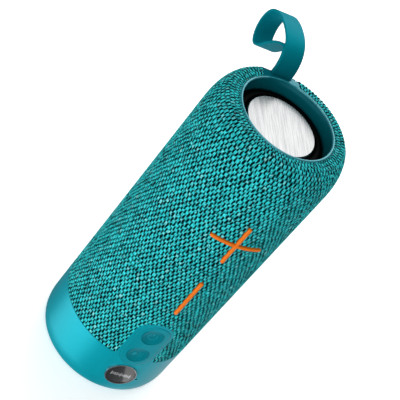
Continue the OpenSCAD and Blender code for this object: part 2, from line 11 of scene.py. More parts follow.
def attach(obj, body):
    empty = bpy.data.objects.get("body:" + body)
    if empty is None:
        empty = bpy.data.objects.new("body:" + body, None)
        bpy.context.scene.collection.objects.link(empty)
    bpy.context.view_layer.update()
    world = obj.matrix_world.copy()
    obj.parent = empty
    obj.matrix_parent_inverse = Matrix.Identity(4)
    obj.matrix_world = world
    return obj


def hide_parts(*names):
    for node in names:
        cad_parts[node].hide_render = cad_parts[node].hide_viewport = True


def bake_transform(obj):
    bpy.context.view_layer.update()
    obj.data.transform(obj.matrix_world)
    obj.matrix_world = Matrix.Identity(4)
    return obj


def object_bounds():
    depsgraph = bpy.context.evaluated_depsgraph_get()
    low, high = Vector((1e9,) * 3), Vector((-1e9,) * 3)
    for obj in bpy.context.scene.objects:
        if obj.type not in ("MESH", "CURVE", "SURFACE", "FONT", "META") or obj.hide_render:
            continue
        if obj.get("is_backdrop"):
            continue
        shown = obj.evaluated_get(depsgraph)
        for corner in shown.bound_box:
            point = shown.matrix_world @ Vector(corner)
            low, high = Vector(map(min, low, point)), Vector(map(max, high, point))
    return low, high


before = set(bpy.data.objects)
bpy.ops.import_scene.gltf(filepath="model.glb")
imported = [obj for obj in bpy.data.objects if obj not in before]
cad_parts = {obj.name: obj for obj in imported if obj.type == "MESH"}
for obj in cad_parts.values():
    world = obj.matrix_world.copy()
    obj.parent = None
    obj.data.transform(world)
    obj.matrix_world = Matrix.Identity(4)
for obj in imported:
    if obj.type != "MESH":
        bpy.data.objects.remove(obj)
cad_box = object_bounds()
MM = 0.001

# Sizes that the new pieces share with the CAD model
BODY_R, BODY_H = 36.0, 179.0
SHOULDER_W, SHOULDER_H = 6.8, 18.0
MOUTH_R = 25.15
CUP_H = 30.0
TONGUE_R, TONGUE_Z = 10.0, 50.5
SEAT_HALF, SEAT_LOW = 10.0, 165.0
PLUS_Z, MINUS_Z = 128.0, 85.0
KEY_HALF, KEY_W, CROSS_A = 13.0, 1.7, math.radians(21.5)
KEY_TOP = 36.9
POWER_Z, PLAY_Z = 50.0, 34.5
KEYPAD_R = 8.8
BADGE_Z = 16.4
MIC_A, MIC_Z, MIC_R = math.radians(16.7), 13.9, 0.6
STRAP_W, STRAP_T = 10.5, 1.3

# ---------------------------------------------------------------- camera, floor and lights

scene = bpy.context.scene
scene.view_settings.view_transform = "Standard"


def camera():
    """The camera, at the photograph's viewing angle, with its roll. Side and lift are how far it
    stands from the line through the middle of the speaker, across and up in its own view."""
    azimuth, elevation, roll = map(math.radians, (-32.15, 38.57, 40.1))
    distance, centre_z, side, lift = 689.0, 89.54, 5.47, 16.91
    back = Vector((math.sin(azimuth) * math.cos(elevation),
                   -math.cos(azimuth) * math.cos(elevation), math.sin(elevation)))
    level = Vector((0, 0, 1)).cross(back).normalized()
    upright = back.cross(level)
    right = level * math.cos(roll) + upright * math.sin(roll)
    up = upright * math.cos(roll) - level * math.sin(roll)
    place = Vector((0, 0, centre_z)) + right * side + up * lift + back * distance
    data = bpy.data.cameras.new("camera")
    data.sensor_width, data.lens = 36.0, 127.4
    data.clip_start, data.clip_end = 0.01, 50
    ob = bpy.data.objects.new("camera", data)
    scene.collection.objects.link(ob)
    stand = Matrix((right, up, back)).transposed().to_4x4()
    stand.translation = place * MM
    ob.matrix_world = stand
    scene.camera = ob


def softbox(name, direction, distance, width, height, light, turn=0):
    """An area light that shines at the middle of the object from a direction; light is the
    brightness that a white surface facing it would have."""
    data = bpy.data.lights.new(name, "AREA")
    data.shape = "RECTANGLE"
    data.size, data.size_y = width * MM, height * MM
    data.energy = light * (math.pi * distance * MM) ** 2
    ob = bpy.data.objects.new(name, data)
    scene.collection.objects.link(ob)
    aim = Vector((0, 0, 90))
    d = Vector(direction).normalized()
    ob.location = (aim + d * distance) * MM
    ob.rotation_mode = "QUATERNION"
    ob.rotation_quaternion = d.to_track_quat("Z", "Y") @ Quaternion((0, 0, 1), math.radians(turn))
    return ob


camera()
softbox("left_key", (-0.70, -0.15, -0.66), 900, 1100, 380, 0.48)
softbox("left_fill", (-0.85, -0.45, 0.05), 1000, 800, 800, 0.40)
front_fill = softbox("front_fill", (-0.20, -0.80, 0.10), 1000, 900, 900, 0.52)
softbox("right_glow", (0.70, 0.04, -0.71), 900, 900, 900, 0.24)
softbox("rear_top", (0.42, 0.66, 0.62), 900, 1000, 1000, 0.74)
softbox("overhead", (-0.1, 0.1, 1.0), 1100, 700, 700, 0.24)
softbox("badge_glint", (0.40, -0.66, -0.64), 1000, 70, 700, 0.022, turn=35)

world = bpy.data.worlds.new("studio")
scene.world = world
world.use_nodes = True
background = world.node_tree.nodes["Background"]
background.inputs["Color"].default_value = (0.93, 0.97, 1.0, 1)
background.inputs["Strength"].default_value = 0.15

# ---------------------------------------------------------------- materials

MATERIALS = {}


class Value:
    """A number or a colour that a shader works out at every point. It takes plain arithmetic."""

    def __init__(self, shader, socket):
        self.shader, self.socket = shader, socket

    def __add__(self, other):
        return self.shader.math("ADD", self, other)

    def __sub__(self, other):
        return self.shader.math("SUBTRACT", self, other)

    def __rsub__(self, other):
        return self.shader.math("SUBTRACT", other, self)

    def __mul__(self, other):
        return self.shader.math("MULTIPLY", self, other)

    def __mod__(self, other):
        return self.shader.math("FLOORED_MODULO", self, other)

    def __lt__(self, other):
        return self.shader.math("LESS_THAN", self, other)

    def __abs__(self):
        return self.shader.math("ABSOLUTE", self)

    def __round__(self):
        return self.shader.math("ROUND", self)

    def __floor__(self):
        return self.shader.math("FLOOR", self)


class Shader:
    """A node material that is put together with short calls, most of which return a Value."""

    def __init__(self, name, **values):
        self.material = bpy.data.materials.new(name)
        MATERIALS[name] = self.material
        self.material.use_nodes = True
        self.tree = self.material.node_tree
        self.tree.nodes.clear()
        self.bsdf = self.node("ShaderNodeBsdfPrincipled")
        out = self.node("ShaderNodeOutputMaterial")
        self.tree.links.new(self.bsdf.outputs[0], out.inputs[0])
        self.set(**values)

    def put(self, socket, value):
        """Links a Value to a socket, or gives the socket a number or colour of its own."""
        if isinstance(value, Value):
            self.tree.links.new(value.socket, socket)
        elif isinstance(value, (tuple, list)) and len(socket.default_value) == 4:
            socket.default_value = (*value[:3], 1)
        else:
            socket.default_value = value

    def node(self, kind, inputs=(), **settings):
        """A new node. What goes into it is given by socket name or number."""
        n = self.tree.nodes.new(kind)
        for key, value in settings.items():
            setattr(n, key, value)
        for key, value in dict(inputs).items():
            self.put(n.inputs[key], value)
        return n

    def value(self, kind, inputs=(), out=0, **settings):
        """One output of a new node."""
        return Value(self, self.node(kind, inputs, **settings).outputs[out])

    def set(self, **values):
        """Sets the shader's sockets: spaces in their names are written as underscores."""
        for key, value in values.items():
            self.put(self.bsdf.inputs[key.replace("_", " ").title().replace("Ior", "IOR")], value)

    def math(self, operation, *args):
        return self.value("ShaderNodeMath", dict(enumerate(args)), operation=operation)

    def most(self, a, b):
        return self.math("MAXIMUM", a, b)

    def hypot(self, a, b):
        return self.math("SQRT", a * a + b * b)

    def smooth(self, value, low, high):
        """0 below low, 1 above high, smooth between; with low over high it falls instead."""
        falls = low > high
        return self.value("ShaderNodeMapRange", {
            "Value": value, "From Min": min(low, high), "From Max": max(low, high),
            "To Min": float(falls), "To Max": float(not falls),
        }, "Result", interpolation_type="SMOOTHSTEP")

    def mix(self, factor, a, b):
        return self.value("ShaderNodeMix", {0: factor, 6: a, 7: b}, 2, data_type="RGBA")

    def coords(self, scale=(1, 1, 1)):
        """The place in the object, in millimetres times scale."""
        place = self.value("ShaderNodeTexCoord", out="Object")
        stretch = [s / MM for s in scale]
        return self.value("ShaderNodeVectorMath", {0: place, 1: stretch}, operation="MULTIPLY")

    def noise(self, vector, scale, detail=3.0, rough=0.55, out=0):
        return self.value("ShaderNodeTexNoise", {
            "Vector": vector, "Scale": scale, "Detail": detail, "Roughness": rough}, out)

    def cells(self, vector, scale):
        return self.value("ShaderNodeTexVoronoi", {"Vector": vector, "Scale": scale}, "Distance")

    def split(self, vector):
        return [Value(self, out) for out in self.node("ShaderNodeSeparateXYZ", {0: vector}).outputs]

    def bump(self, height, depth, strength=1.0):
        """Bumps of a real depth in millimetres, over those already there."""
        n = self.node("ShaderNodeBump", {
            "Height": height, "Distance": depth * MM, "Strength": strength})
        normal = self.bsdf.inputs["Normal"]
        if normal.links:
            self.tree.links.new(normal.links[0].from_socket, n.inputs["Normal"])
        self.tree.links.new(n.outputs[0], normal)

    def worn(self, colour, edge):
        """The colour, with its sharp edges rubbed towards another."""
        sharp = self.smooth(self.value("ShaderNodeNewGeometry", out="Pointiness"), 0.52, 0.60)
        return self.mix(sharp * (self.noise(self.coords(), 0.8, 2.0) * 0.35), colour, edge)


def shade(colour, factor):
    return tuple(min(1.0, c * factor) for c in colour)


def moulded(name, colour, roughness, grain=0.012, pebble=3.2, mottle=0.06, edge=1.5, details=None,
            **values):
    """Moulded plastic or rubber: fine pebbled texture, faint flow marks and rubbed edges.
    details() adds the piece's own marks to the tone."""
    s = Shader(name, **values)
    place = s.coords()
    flow = s.noise(place, 0.06, 3.0)
    fine = s.noise(place, 1.7, 4.0)
    tone = s.mix(flow, shade(colour, 1 - mottle), shade(colour, 1 + mottle))
    tone = s.mix(fine * 0.25, tone, shade(colour, 1 - 2 * mottle))
    tone = s.worn(tone, shade(colour, edge))
    if details:
        tone = details(s, place, tone)
    s.set(base_color=tone, roughness=fine * 0.10 + (roughness - 0.05))
    s.bump(s.cells(place, pebble), grain, 0.6)
    s.bump(s.noise(place, 0.35, 2.0), 0.02, 0.25)


def cup_details(s, place, tone):
    """Painted shade inside the microphone hole, and a line of painted shade in the groove round the
    keypad, which stands a little proud of the cup and is a little darker."""
    x, y, z = s.split(place)
    front = y < 0.0
    from_axis = s.hypot(x * math.cos(MIC_A) + y * math.sin(MIC_A), z - MIC_Z)
    # Painted shade: the inside of the microphone hole is painted near black.
    hole_shade = s.smooth(from_axis, MIC_R + 0.06, MIC_R + 0.02)
    tone = s.mix(hole_shade * front, tone, (0.002, 0.003, 0.003))
    past_ends = s.most(s.most(PLAY_Z - z, z - POWER_Z), 0.0)
    reach = s.hypot(x, past_ends)
    proud = s.smooth(reach, KEYPAD_R + 0.1, KEYPAD_R - 0.7) * front
    groove = s.smooth(abs(reach - KEYPAD_R), 0.34, 0.06) * front
    pad_tone_and_groove_shade = shade(CUP_TEAL, 0.1)
    tone = s.mix(proud * 0.16, tone, pad_tone_and_groove_shade)
    # Painted shade: the groove round the keypad is darkened.
    tone = s.mix(groove * 0.34, tone, pad_tone_and_groove_shade)
    s.bump(proud, 0.20)
    return tone


def metal(name, colour, roughness, along=(1, 1, 1), streak=4.0, depth=0.004):
    """Metal with fine drawing or turning marks along one axis."""
    s = Shader(name, metallic=1.0)
    marks = s.noise(s.coords(along), streak, 4.0, 0.6)
    stain = s.noise(s.coords(), 0.25, 3.0)
    s.set(base_color=s.mix(stain, shade(colour, 0.88), shade(colour, 1.05)),
          roughness=marks * 0.16 + (roughness - 0.08))
    s.bump(marks, depth, 0.5)


def brushed_disc():
    """Bright brushed metal, with long fine streaks along Y."""
    s = Shader("disc_silver", metallic=1.0)
    coarse = s.noise(s.coords((1.5, 0.05, 0.2)), 1.0, 3.0, 0.6)
    fine = s.noise(s.coords((7.0, 0.12, 0.5)), 1.0, 2.0, 0.5)
    streak = coarse * 0.6 + fine * 0.4
    s.set(base_color=s.mix(s.smooth(streak, 0.34, 0.62), (0.32, 0.325, 0.33), (0.48, 0.48, 0.48)),
          roughness=streak * 0.2 + 0.16)
    s.bump(streak, 0.012, 0.6)


def loop_gap(s, side, y, luck, loose):
    """The gap inside each loop: wide and round at its foot, thin at its top."""
    foot = s.smooth(y, -0.03, 0.10)
    taper = s.smooth(y, 0.34, 0.68) * -0.72 + 1.0
    half = foot * taper * (luck * 0.26 + 0.30) + loose * 0.45
    return s.smooth(half - side, -0.07, 0.10) * s.smooth(y, 0.70, 0.52)


def loop_crown(s, side, y):
    """The loop's flat head, and its neighbours' heads across the column's edge, which the tone paints
    bright as a highlight.
    """

    def head(at):
        return s.smooth(at, 0.46, 0.80) * s.smooth(at, 1.0, 0.93)

    own = head(y) * (s.smooth(side, 0.38, 0.5) * -0.2 + 1.0)
    beside = head(s.math("FRACT", y + 0.5)) * (s.smooth(side, 0.30, 0.5) * 0.8)
    return s.most(own, beside)


def knitted():
    """The sleeve's yarn. U counts loops round the tube and V counts them along it."""
    s = Shader("fabric_teal", sheen_weight=0.05, sheen_roughness=0.4, sheen_tint=(0.2, 0.9, 0.95),
               specular_ior_level=0.05, specular_tint=GLOSS_TEAL)
    place = s.coords()
    u, v, _ = s.split(s.value("ShaderNodeUVMap", uv_map="loops"))
    # The loops are never quite in line: there are two columns of half loops to each loop
    stray_u, stray_v, _ = s.split(s.noise(place, 0.45, 2.0, 0.5, "Color"))
    column = (stray_u - 0.5) * 1.15 + u * 2.0
    row = (stray_v - 0.5) * 0.62 + v
    index = round(column)
    side = abs(column - index)
    lift = index % 2.0 * 0.5 + row
    y = s.math("FRACT", lift)
    loop = s.value("ShaderNodeCombineXYZ", {0: index, 1: math.floor(lift)})
    dice = s.value("ShaderNodeTexWhiteNoise", {"Vector": loop}, "Color", noise_dimensions="2D")
    luck, luck_b, _ = s.split(dice)
    fibre = s.noise(place, 2.1, 3.0, 0.7)
    loose = fibre - 0.5
    gap = loop_gap(s, side, y, luck, loose)
    crown = loop_crown(s, side, y)
    # The plies of the yarn run round the gap; the head has a valley and a crease over its top, which the
    # tone darkens as painted shade.
    strand = s.smooth(y, 0.45, 0.95) * (side * -0.5) + side
    ply = s.math("SINE", (fibre * 0.10 + strand) * 46.0)
    valley = s.smooth(side, 0.19, 0.03) * s.smooth(y, 0.60, 0.70) * s.smooth(y, 0.92, 0.84)
    crease = s.smooth(y, 0.92, 0.985) * s.smooth(side, 0.50, 0.34)
    fold = s.most(valley, crease)
    # Every loop's own tone, with wide patches, fibres and grit over it; the heads are painted bright as
    # a highlight, and the valley and crease painted dark as shade.
    patch = s.noise(place, 0.16, 2.0)
    grit = s.smooth(s.noise(place, 1.35, 1.0, 0.5), 0.36, 0.64)
    tone = crown * 0.70 + ply * 0.10 - fold * 0.45 + luck_b * 0.42 + 0.06
    tone = tone + (patch - 0.5) * 0.14 + loose * 1.10 + (grit - 0.5) * 0.44
    yarn = s.mix(tone, YARN_LOW, YARN_HIGH)
    # Painted highlights: a few loops and specks are painted pale as glints.
    glint = s.smooth(s.noise(place, 1.7, 2.0, 0.6), 0.58, 0.70)
    lit = s.smooth(luck, 0.92, 0.99) * crown * s.smooth(fibre, 0.35, 0.60)
    yarn = s.mix(s.most(lit, glint) * 0.60, yarn, YARN_GLINT)
    tucked = s.value("ShaderNodeAttribute", out="Fac", attribute_name="tuck")
    s.set(base_color=s.mix(s.most(gap, tucked), yarn, YARN_GAP), roughness=fibre * 0.3 + 0.50)
    s.bump(crown * 0.35 - gap * 0.65 - fold * 0.3 + ply * 0.05, 0.25, 0.8)
    s.bump(fibre, 0.15, 0.8)


def board_material():
    """Green circuit board with copper tracks under its lacquer and rows of pads."""
    s = Shader("board", coat_weight=0.4, coat_roughness=0.2)
    place = s.coords()
    tracks = s.value("ShaderNodeTexBrick", {
        "Vector": s.coords((0.35, 0.35, 0.35)), "Color1": (0.01, 0.13, 0.05),
        "Color2": (0.01, 0.17, 0.07), "Mortar": (0.05, 0.32, 0.12), "Mortar Size": 0.03,
    }, "Color", offset=0.37, squash=0.6)
    dots = s.smooth(s.cells(place, 0.5), 0.14, 0.10)
    s.set(base_color=s.mix(dots, tracks, (0.70, 0.62, 0.35)),
          roughness=s.noise(place, 2.0) * 0.15 + 0.35)
    s.bump(s.noise(place, 1.4, 3.0), 0.02, 0.4)


def woven(name, colour, pitch):
    """Resin-dipped cloth: a plain weave of two sets of threads."""
    s = Shader(name)
    _, y, z = s.split(s.coords((pitch, pitch, pitch)))
    weave = s.math("SINE", y * 6.28) * s.math("SINE", z * 6.28)
    s.set(base_color=s.mix(s.smooth(weave, -0.6, 0.6), shade(colour, 0.6), colour),
          roughness=weave * 0.1 + 0.7)
    s.bump(weave, 0.06, 0.8)


def paper(name, colour):
    """Pressed pulp with stray fibres."""
    s = Shader(name)
    pulp = s.noise(s.coords((1.0, 2.6, 1.4)), 1.3, 5.0, 0.7)
    s.set(base_color=s.mix(s.smooth(pulp, 0.3, 0.7), shade(colour, 0.7), shade(colour, 1.3)),
          roughness=pulp * 0.15 + 0.75)
    s.bump(pulp, 0.05, 0.8)


def gloss_badge():
    """Black glass over a finely turned dark face, printed with a plain row of level bars."""
    s = Shader("badge_black", coat_weight=1.0, coat_roughness=0.05, metallic=0.55)
    x, _, z = s.split(s.coords())
    up = z - BADGE_Z
    # One bar to a millimetre, each with a height of its own
    bar_x = round(x)
    bar_half = abs(s.math("COSINE", bar_x * 1.3)) + 0.4
    bars = s.smooth(abs(x - bar_x), 0.28, 0.22) * s.smooth(bar_half - abs(up), 0.0, 0.08)
    rings = s.math("SINE", s.hypot(x, up) * 24.0)
    face = s.mix(s.smooth(rings, -1.0, 1.0), (0.020, 0.021, 0.022), (0.042, 0.043, 0.045))
    s.set(base_color=s.mix(bars * (abs(x) < 5.5), face, (0.70, 0.71, 0.72)),
          roughness=s.noise(s.coords(), 1.2, 4.0) * 0.14 + 0.16)
    s.bump(rings, 0.004, 0.3)


def ring_material():
    """The mouth ring: glossy dark plastic, with a painted highlight that makes its lip paler and painted
    strap shadow that takes the highlight away over the strap's seat.
    """
    s = Shader("ring_teal", metallic=0.35, specular_ior_level=0.45)
    place = s.coords()
    x, y, z = s.split(place)
    # Painted light: the lip is painted paler as a highlight, and left dark over the strap's seat as
    # painted strap shadow.
    strap_shadow = s.smooth(abs(x), 9.0, 6.5) * s.smooth(y, 0.0, 10.0)
    outward = s.hypot(x, y)
    lip_highlight = s.smooth(z, BODY_H - 0.55, BODY_H - 0.1) * s.smooth(outward, MOUTH_R - 0.03, MOUTH_R - 0.13)
    flow = s.noise(place, 0.06, 3.0)
    wall = s.mix(flow, (0.001, 0.205, 0.255), (0.001, 0.225, 0.280))
    # The paler colour of the lip's painted highlight
    rim = s.mix(flow, (0.060, 0.330, 0.385), (0.070, 0.360, 0.420))
    s.set(base_color=s.mix(lip_highlight * (1.0 - strap_shadow), wall, rim),
          roughness=s.noise(place, 1.7, 4.0) * 0.08 + 0.16)
    s.bump(s.cells(place, 3.2), 0.006, 0.6)


YARN_LOW, YARN_HIGH = (0.001, 0.10, 0.113), (0.034, 0.78, 0.81)
# YARN_GLINT is the pale colour of the painted glints.
YARN_GAP, YARN_GLINT = (0.0, 0.010, 0.013), (0.50, 0.92, 0.92)
CUP_TEAL = (0.001, 0.370, 0.460)
# The tint of what the teal pieces reflect
GLOSS_TEAL = (0.1, 0.9, 1.0)

knitted()
ring_material()
brushed_disc()
gloss_badge()
board_material()
moulded("cup_teal", CUP_TEAL, 0.36, details=cup_details, metallic=0.28, specular_ior_level=0.12)
moulded("strap_teal", (0.001, 0.290, 0.365), 0.45, grain=0.010, metallic=0.12,
        specular_ior_level=0.03, specular_tint=GLOSS_TEAL)
moulded("button_teal", (0.001, 0.232, 0.290), 0.34, metallic=0.20, specular_ior_level=0.10,
        specular_tint=GLOSS_TEAL)
moulded("icon", (0.001, 0.300, 0.375), 0.30, metallic=0.20, specular_ior_level=0.10)
moulded("key_orange", (0.98, 0.205, 0.010), 0.38, grain=0.006, edge=1.1, specular_ior_level=0.2)
moulded("surround_black", (0.0006, 0.0006, 0.0006), 0.42, grain=0.008, specular_ior_level=0.015)
moulded("pad_rubber", (0.016, 0.018, 0.019), 0.62, grain=0.03, pebble=1.6)
moulded("black_plastic", (0.014, 0.015, 0.016), 0.48, grain=0.02, pebble=2.4)
moulded("white_plastic", (0.66, 0.65, 0.60), 0.45, grain=0.02, edge=1.1)
moulded("battery_wrap", (0.02, 0.10, 0.32), 0.22, grain=0.004, coat_weight=0.5)
metal("bezel_chrome", (0.48, 0.49, 0.50), 0.14, (1, 0.1, 1), 2.0, 0.002)
metal("steel", (0.62, 0.63, 0.65), 0.28, (0.3, 1, 1), 3.0)
metal("copper", (0.78, 0.36, 0.18), 0.30, (0.2, 1, 1), 9.0, 0.03)
paper("cone_paper", (0.060, 0.062, 0.066))
woven("spider_cloth", (0.62, 0.42, 0.14), 1.6)

# The CAD pieces that stay as they are, under the material that each one gets
CAD_PIECES = {
    "cup_teal": ["base_cup", "port_door", "keypad_pad"],
    "ring_teal": ["top_ring"],
    "button_teal": ["power_button", "play_button"],
    "surround_black": ["mic_capsule"],
    "disc_silver": ["radiator_disc"],
    "badge_black": ["badge_disc"],
    "bezel_chrome": ["badge_bezel"],
    "black_plastic": ["grille_shell", "base_plate", "base_gasket", "radiator_frame", "radiator_core",
                      "plus_contact", "minus_contact", "power_contact", "play_contact",
                      "usb_tongue", "chassis_front", "chassis_rear"],
    "white_plastic": ["battery_tray"],
    "steel": ["base_screws", "radiator_weight", "ring_screws", "strap_pin", "key_board_screws",
              "port_pin", "usb_socket", "chassis_screws", "main_board_screws",
              "main_board_chips", "left_basket", "left_yoke", "left_magnet", "right_basket",
              "right_yoke", "right_magnet"],
    "board": ["key_board", "port_board", "battery_board", "main_board"],
    "battery_wrap": ["battery_cells"],
    "copper": ["left_coil", "right_coil"],
    "cone_paper": ["left_cone", "right_cone"],
}
for material_name, pieces in CAD_PIECES.items():
    for piece in pieces:
        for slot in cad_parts[piece].material_slots:
            slot.material = MATERIALS[material_name]

# ---------------------------------------------------------------- mesh helpers


def put(name, points, faces, slot_name, body=None, stands_for=(), smooth=True, paint=None):
    """Makes a piece from points in millimetres. With no body it is left unattached. Its
    material is its slot's, unless paint names another."""
    mesh = bpy.data.meshes.new(name)
    mesh.from_pydata((np.asarray(points, float) * MM).tolist(), [], faces)
    mesh.polygons.foreach_set("use_smooth", [smooth] * len(mesh.polygons))
    mesh.materials.append(MATERIALS[paint or slot_name])
    mesh.update()
    ob = bpy.data.objects.new(name, mesh)
    scene.collection.objects.link(ob)
    if body:
        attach(ob, body)
    if stands_for:
        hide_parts(*stands_for)
    return ob


def together(parts):
    """Joins lists of (points, faces) into one."""
    points, faces = [], []
    for p, f in parts:
        start = len(points)
        points.extend(p)
        faces.extend([tuple(i + start for i in face) for face in f])
    return points, faces


def tube_faces(rings, size, closed=False):
    """Faces that join rings of size points each, in order, with caps on a tube that isn't closed."""
    faces = []
    for k in range(rings if closed else rings - 1):
        a, b = k * size, (k + 1) % rings * size
        for i in range(size):
            j = (i + 1) % size
            faces.append((a + i, a + j, b + j, b + i))
    if not closed:
        faces.append(tuple(reversed(range(size))))
        faces.append(tuple(range((rings - 1) * size, rings * size)))
    return faces


def turned(profile, count=128, place=None):
    """Turns a closed profile of (radius, height) about the axis."""
    place = place or (lambda r, a, h: (r * math.cos(a), r * math.sin(a), h))
    points = [place(r, 2 * math.pi * k / count, h) for k in range(count) for r, h in profile]
    return points, [tuple(reversed(f)) for f in tube_faces(count, len(profile), closed=True)]


def rounded(half_w, half_h, corner, steps):
    """Points of a rounded rectangle, anticlockwise, with steps to each corner."""
    out = []
    for cx, cy, start in ((1, 1, 0), (-1, 1, 90), (-1, -1, 180), (1, -1, 270)):
        for i in range(steps + 1):
            a = math.radians(start + 90 * i / steps)
            out.append((cx * (half_w - corner) + corner * math.cos(a),
                        cy * (half_h - corner) + corner * math.sin(a)))
    return out


def split_edges(ob, angle):
    """Keeps the edges crisp where the faces of a smooth piece meet at more than an angle."""
    edges = ob.modifiers.new("sharp", "EDGE_SPLIT")
    edges.split_angle = math.radians(angle)


def eased(t):
    """A share from 0 to 1 that starts and ends gently."""
    return t * t * (3 - 2 * t)


# ---------------------------------------------------------------- knitted sleeve

# Loops round the body, the height of a loop, and grid steps to a loop across and along
LOOPS, LOOP_H = 98, 4.49
ACROSS, ALONG = 6, 6
# How deep the gaps between the loops go, and how deep the cloth's edge is tucked in
RELIEF = 0.55
TUCK = 0.9


def sleeve_line():
    """The sleeve's outer face: length along it, radius, height and the two parts of its normal."""
    arc = [(BODY_R - SHOULDER_W * (1 - math.cos(a)), BODY_H - SHOULDER_H * (1 - math.sin(a)))
           for a in np.linspace(0, math.pi / 2, 60)]
    line = np.array([(BODY_R, CUP_H + 0.05)] + arc + [(MOUTH_R, BODY_H)])
    steps = np.diff(line, axis=0)
    length = np.concatenate([[0], np.cumsum(np.hypot(steps[:, 0], steps[:, 1]))])
    fine = np.linspace(0, length[-1], 1600)
    r, z = np.interp(fine, length, line[:, 0]), np.interp(fine, length, line[:, 1])
    dr, dz = np.gradient(r, fine), np.gradient(z, fine)
    size = np.hypot(dr, dz)
    return fine, r, z, dz / size, -dr / size


def box_distance(x, z, half_x, half_z, corner):
    """How far a point is outside a rounded rectangle about the origin."""
    qx, qz = np.abs(x) - (half_x - corner), np.abs(z) - (half_z - corner)
    return (np.hypot(np.maximum(qx, 0), np.maximum(qz, 0))
            + np.minimum(np.maximum(qx, qz), 0) - corner)


def outside_tongue(x, z):
    """How far a place is outside the cup's tongue with its filleted foot."""
    fillet = 2.0
    stem_half = 20.0
    edge = np.minimum(np.hypot(x, z - TONGUE_Z) - TONGUE_R,
                      box_distance(x, z - TONGUE_Z + stem_half, TONGUE_R, stem_half, 0.01))
    foot = fillet - np.hypot(np.abs(x) - TONGUE_R - fillet, z - CUP_H - fillet)
    at_foot = (np.abs(x) < TONGUE_R + fillet) & (np.abs(x) > TONGUE_R) & (z < CUP_H + fillet)
    return np.where(at_foot, foot, edge)


def outside_holes(u, s, line):
    """How far a place on the sleeve is from the nearest edge of an opening in it."""
    fine, r, z, _, _ = line
    angle = u / LOOPS * 2 * math.pi
    radius, height = np.interp(s, fine, r), np.interp(s, fine, z)
    x, y = radius * np.sin(angle), -radius * np.cos(angle)
    arc = BODY_R * (np.mod(angle + math.pi, 2 * math.pi) - math.pi)
    # The slits for the key's bars are a little wider and longer than the bars
    bar, slit, corner = KEY_W / 2 + 0.15, KEY_HALF + 0.25, 0.6
    front = np.minimum.reduce([
        outside_tongue(x, height) - 0.05,
        box_distance(x, height - PLUS_Z, bar, slit, corner),
        box_distance(arc, height - PLUS_Z, BODY_R * CROSS_A + 0.35, bar, corner),
        box_distance(x, height - MINUS_Z, bar, slit, corner),
    ])
    reach = 30.0
    back = box_distance(x, height - SEAT_LOW - reach + 0.1, SEAT_HALF + 0.1, reach, 4.0)
    return np.where(y < 0, front, back)


def rise(t, low, high):
    return eased(np.clip((t - low) / (high - low), 0, 1))


def loop_depth(u, v):
    """How deep the knit is under its highest face, from 0 to 1."""
    column = u * 2
    index = np.round(column)
    side = np.abs(column - index)
    y = np.mod(v + 0.5 * np.mod(index, 2), 1)
    gap = np.clip(1 - side / 0.45, 0, 1) * rise(y, -0.06, 0.12) * (1 - rise(y, 0.36, 0.70))

    def head(at):
        return rise(at, 0.46, 0.80) * (1 - rise(at, 0.93, 1.0))

    crown = np.maximum(head(y), head(np.mod(y + 0.5, 1)) * rise(side, 0.25, 0.5))
    return 0.30 * (1 - crown) + 0.70 * gap


def cut_edge(kept):
    """The grid's points that are on an edge of the cloth, from the faces that are kept."""
    rows, turns = kept.shape
    touched = np.zeros((rows + 1, turns), int)
    for down in (0, 1):
        for across in (0, 1):
            touched[down:rows + down] += np.roll(kept, across, axis=1)
    full = np.full(touched.shape, 4)
    full[0] = full[-1] = 2
    return (touched > 0) & (touched < full)


def pull_to_edge(u, s, edge, line):
    """Moves the points of a cut edge on to the line of the opening."""
    loops_per_mm = LOOPS / (2 * math.pi * BODY_R)
    end = line[0][-1]
    step = 0.02
    for _ in range(4):
        off = outside_holes(u, s, line)
        slope_u = (outside_holes(u + step * loops_per_mm, s, line) - off) / step
        slope_s = (outside_holes(u, np.clip(s + step, 0, end), line) - off) / step
        move = np.clip(off, -0.5, 0.5) / np.maximum(slope_u * slope_u + slope_s * slope_s, 0.2)
        u = np.where(edge, u - move * slope_u * loops_per_mm, u)
        s = np.where(edge, np.clip(s - move * slope_s, 0, end), s)
    return u, s


def sleeve_points(u, s, depth, line):
    """Points that lie a depth under the sleeve's outer face."""
    fine, r, z, normal_r, normal_z = line
    angle = u / LOOPS * 2 * math.pi
    radius = np.interp(s, fine, r) - depth * np.interp(s, fine, normal_r)
    height = np.interp(s, fine, z) - depth * np.interp(s, fine, normal_z)
    return np.stack([radius * np.sin(angle), -radius * np.cos(angle), height], -1).reshape(-1, 3)


